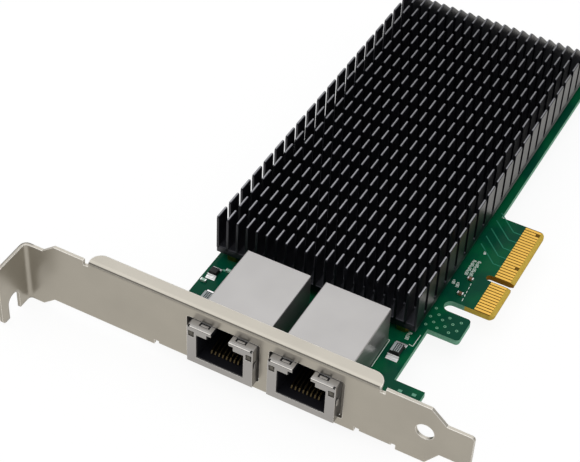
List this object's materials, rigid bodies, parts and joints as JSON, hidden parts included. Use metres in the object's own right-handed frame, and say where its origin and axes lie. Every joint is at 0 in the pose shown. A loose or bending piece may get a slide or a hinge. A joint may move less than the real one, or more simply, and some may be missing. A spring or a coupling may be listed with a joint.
{
  "type": "network interface card",
  "caption": "Dual-port Ethernet expansion card with full-height bracket, shielded jacks, black pin-fin heatsink and gold edge connector.",
  "frame": {"origin": "on the board's middle plane, at the tips of the edge contacts, on the axis of the key notch", "axes": "+X into the slot, +Y from the bracket to the far end of the card, +Z out of the component side"},
  "size_m": [0.12, 0.1678, 0.0212],
  "materials": {
    "laminate": "green solder mask over glass-epoxy",
    "gold_plating": "gold plated",
    "bracket_steel": "satin nickel plate",
    "screw_steel": "nickel plated",
    "anodised_aluminium": "black anodised",
    "brass_posts": "turned brass",
    "thermal_rubber": "matte",
    "package_black": "matte moulded epoxy",
    "tinned_steel": "satin tin plate",
    "housing_black": "moulded plastic",
    "light_pipe": "smoky clear plastic",
    "solder": "bright solder",
    "ceramic_brown": "fired ceramic with tinned ends",
    "inductor_grey": "pressed powder"
  },
  "bodies": {
    "root": {"circuit_board": "laminate", "edge_contacts_component_side": "gold_plating", "edge_contacts_solder_side": "gold_plating", "bracket": "bracket_steel", "bracket_screws": "screw_steel", "heatsink": "anodised_aluminium", "heatsink_standoffs": "brass_posts", "heatsink_screws": "screw_steel", "thermal_pad": "thermal_rubber", "controller_chip": "package_black", "jack_shell_left": "tinned_steel", "jack_shell_right": "tinned_steel", "jack_housing_left": "housing_black", "jack_housing_right": "housing_black", "jack_contacts_left": "gold_plating", "jack_contacts_right": "gold_plating", "jack_lights_left": "light_pipe", "jack_lights_right": "light_pipe", "jack_pins_left": "solder", "jack_pins_right": "solder", "surge_diodes": "package_black", "supply_diode": "package_black", "edge_capacitors": "ceramic_brown", "chip_capacitors": "ceramic_brown", "power_inductors": "inductor_grey", "voltage_regulators": "package_black", "flash_memory": "package_black", "crystal": "tinned_steel", "decoupling_capacitors": "ceramic_brown"}
  },
  "joints": []
}
